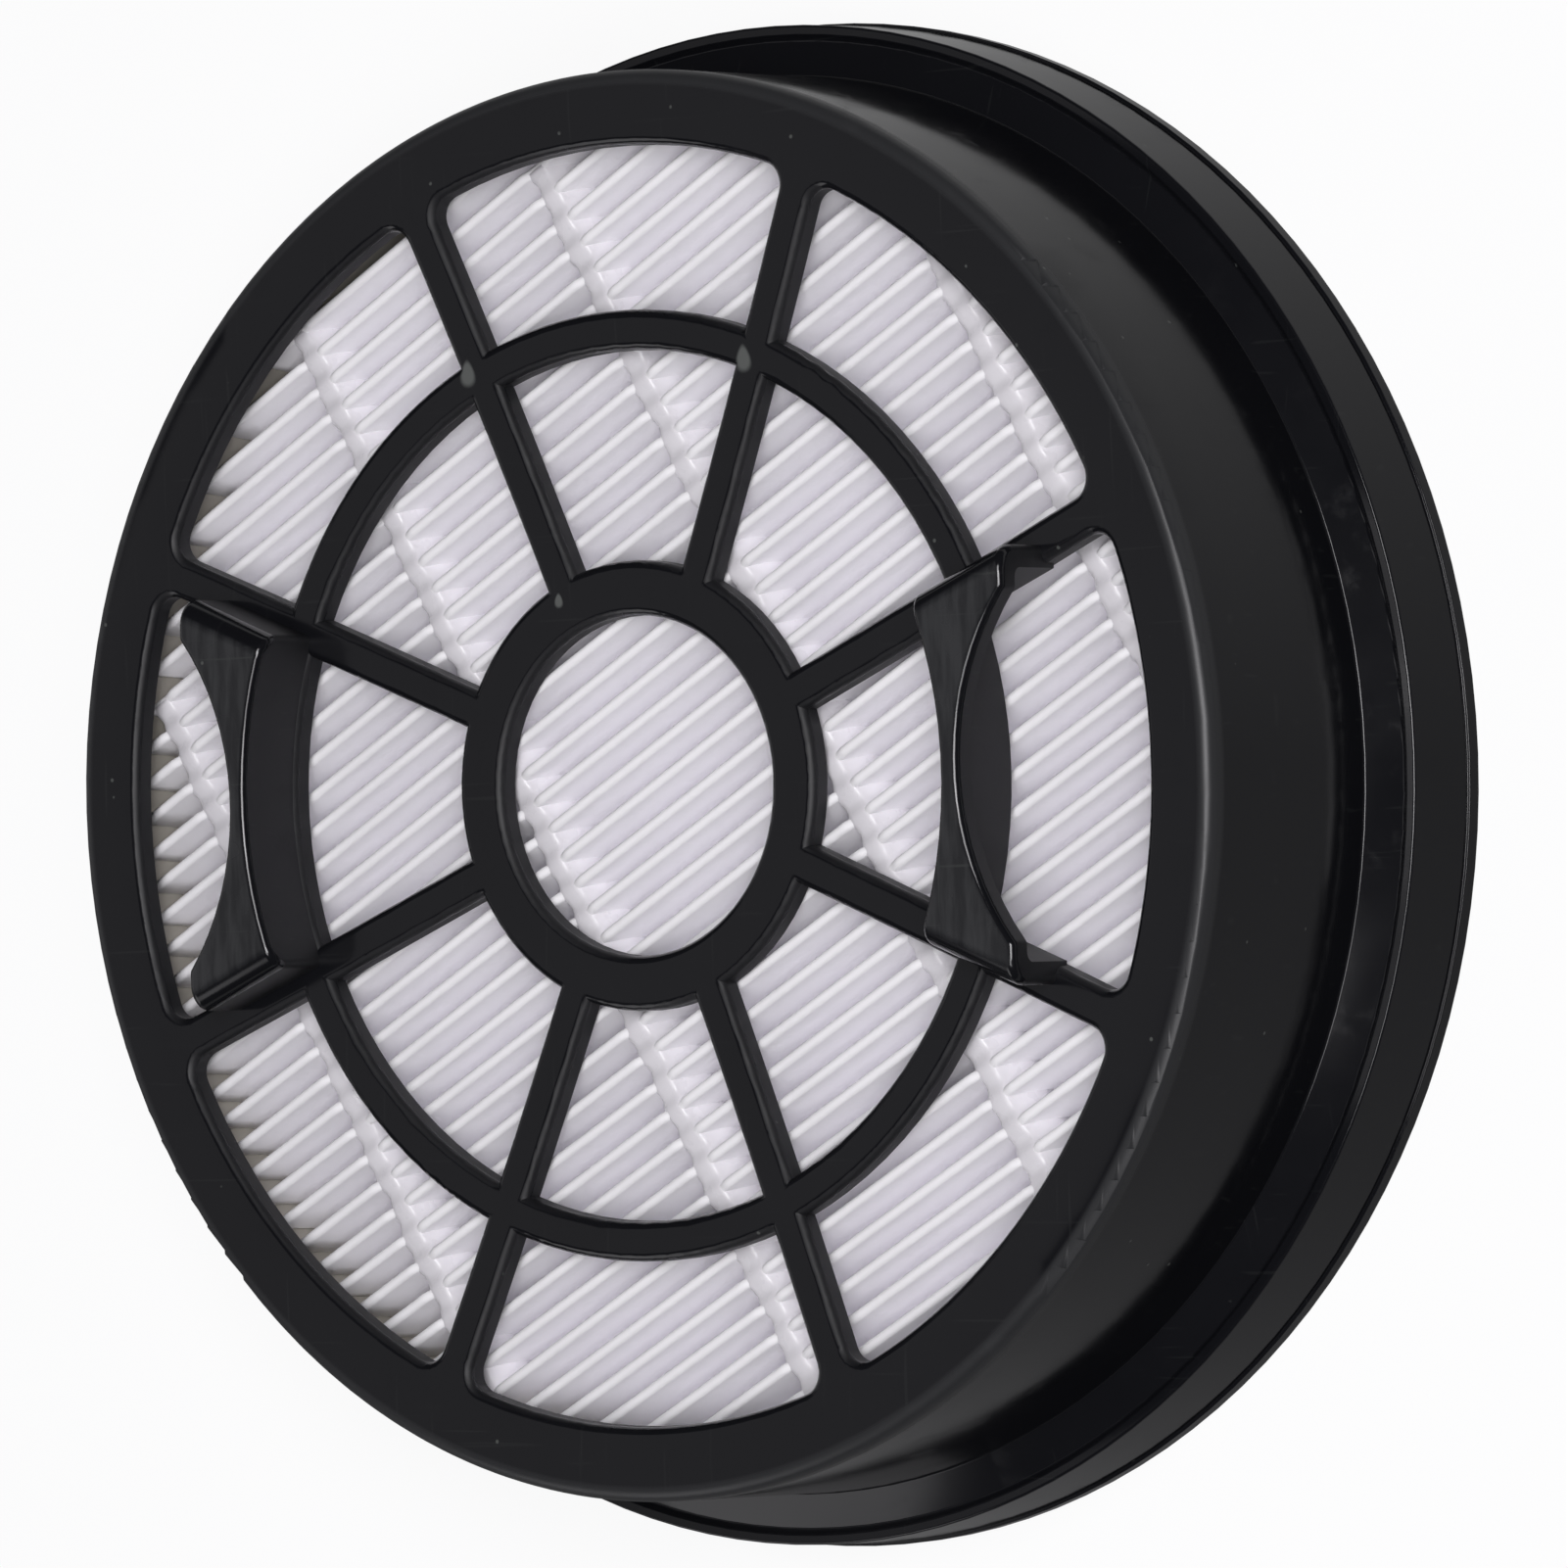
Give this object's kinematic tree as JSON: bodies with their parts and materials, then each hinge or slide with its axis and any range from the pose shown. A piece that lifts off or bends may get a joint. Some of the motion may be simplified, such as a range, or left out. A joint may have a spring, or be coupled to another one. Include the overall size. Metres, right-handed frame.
{
  "type": "vacuum filter",
  "caption": "Round vacuum filter: a black moulded cup with a spoked, dished front grille, finger grips and a stepped flange, holding a disc of white pleated media.",
  "frame": {"origin": "centre of the flange's back face, on the plane that the filter lies on", "axes": "+Z out of the front grille along the filter's axis, X through the two grips"},
  "size_m": [0.1346, 0.1346, 0.0368],
  "materials": {
    "frame": "semi-gloss black moulded plastic",
    "media": "white fibrous filter sheet",
    "glue": "cloudy hot-melt glue",
    "seal": "set adhesive"
  },
  "bodies": {
    "root": {"frame": "frame", "pleated_media": "media", "glue_bead_1": "glue", "glue_bead_2": "glue", "glue_bead_3": "glue", "glue_bead_4": "glue", "edge_seal": "seal"}
  },
  "joints": []
}
